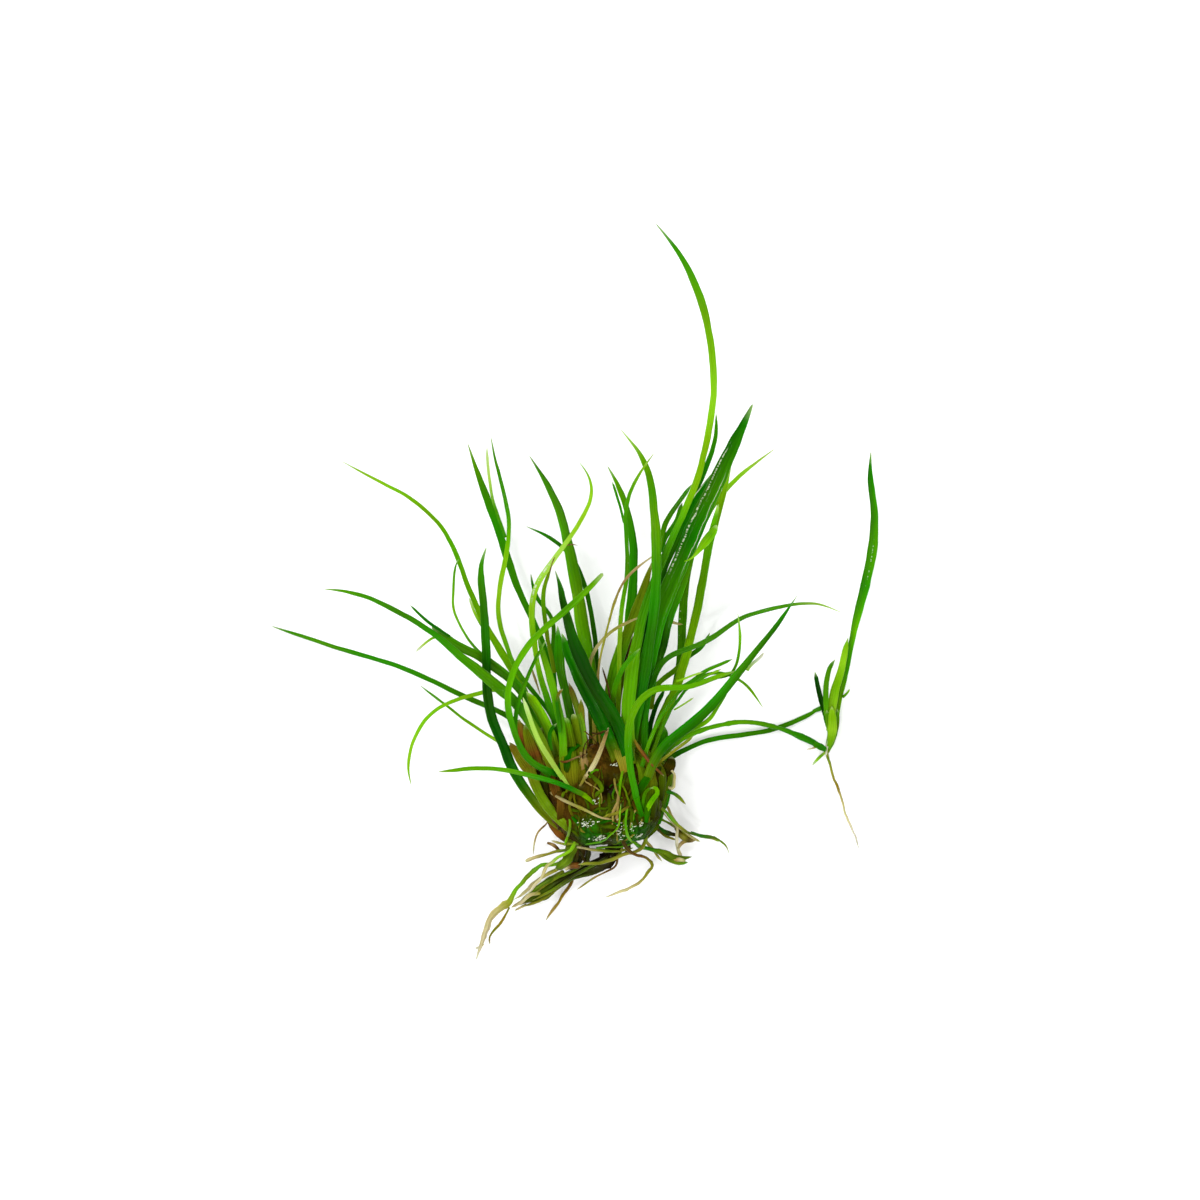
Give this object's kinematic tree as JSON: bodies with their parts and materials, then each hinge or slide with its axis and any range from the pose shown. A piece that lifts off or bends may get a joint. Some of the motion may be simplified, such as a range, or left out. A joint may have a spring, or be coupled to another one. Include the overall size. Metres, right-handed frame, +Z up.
{
  "type": "bare-root shoreweed tuft",
  "caption": "Bare-root tuft of narrow grass-like aquarium plant leaves on a lumpy crown, lying on its side, with short roots and a plantlet on a runner.",
  "frame": {"origin": "on the flat underside of the crown, in the surface that the tuft lies on", "axes": "+Y towards the leaf tips, +Z up from the surface, +X towards the runner and its plantlet"},
  "size_m": [0.0668, 0.0806, 0.0219],
  "materials": {
    "crown": "wet, lumpy plant tissue with dead brown and straw-coloured sheaths",
    "leaf_dark": "glossy dark green leaf",
    "leaf_mid": "glossy mid-green leaf",
    "leaf_bright": "glossy yellow-green leaf",
    "leaf_pale": "glossy pale green leaf",
    "leaf_olive": "glossy olive sheath leaf",
    "dry_leaf": "dry straw-coloured leaf",
    "root_cream": "smooth cream root",
    "root_green": "smooth green root"
  },
  "bodies": {
    "root": {"crown": "crown", "leaf_left_bow": "leaf_bright", "leaf_left_long": "leaf_mid", "leaf_left_broken": "leaf_pale", "leaf_left_low": "leaf_dark", "leaf_left_wisp": "leaf_bright", "leaf_left_hook": "leaf_bright", "leaf_left_blade": "leaf_dark", "leaf_left_wave": "leaf_bright", "leaf_left_upright": "leaf_dark", "leaf_back_tall": "leaf_mid", "leaf_swan_neck": "leaf_bright", "leaf_back_hooked": "leaf_dark", "leaf_front_cross": "leaf_mid", "leaf_front_cross_mate": "leaf_bright", "leaf_front_dark": "leaf_dark", "leaf_front_short": "leaf_dark", "leaf_olive": "leaf_olive", "leaf_front_bright": "leaf_bright", "leaf_sheath_olive": "leaf_olive", "leaf_front_pale": "leaf_pale", "leaf_side_thread": "leaf_bright", "leaf_olive_strip": "leaf_olive", "leaf_tallest": "leaf_bright", "leaf_broad": "leaf_dark", "leaf_broad_shaded": "leaf_dark", "leaf_right_kinked": "leaf_mid", "leaf_right_straight": "leaf_mid", "leaf_middle_curl": "leaf_mid", "leaf_middle_wave": "leaf_mid", "leaf_middle_dark": "leaf_dark", "leaf_yellow": "leaf_olive", "leaf_yellow_short": "leaf_olive", "leaf_arch": "leaf_bright", "leaf_arch_mate": "leaf_bright", "leaf_right_reach": "leaf_mid", "leaf_right_dark": "leaf_dark", "leaf_beside_runner": "leaf_dark", "leaf_right_spike": "leaf_mid", "runner": "leaf_mid", "plantlet_base": "leaf_bright", "plantlet_leaf_tall": "leaf_mid", "plantlet_leaf_sheath": "leaf_bright", "plantlet_leaf_short": "leaf_mid", "plantlet_leaf_dark": "leaf_dark", "plantlet_root": "root_cream", "dry_thread": "dry_leaf", "dry_leaf_curled": "dry_leaf", "dry_leaf_golden": "dry_leaf", "dry_stick": "dry_leaf", "root_main": "root_cream", "root_left_upper": "root_green", "root_left_lower": "root_green", "root_bundle": "root_green", "root_low": "root_green", "root_under": "root_green", "root_curl": "root_cream", "root_right_upper": "root_cream", "root_right_drooping": "root_cream", "root_right_lower": "root_green"}
  },
  "joints": []
}
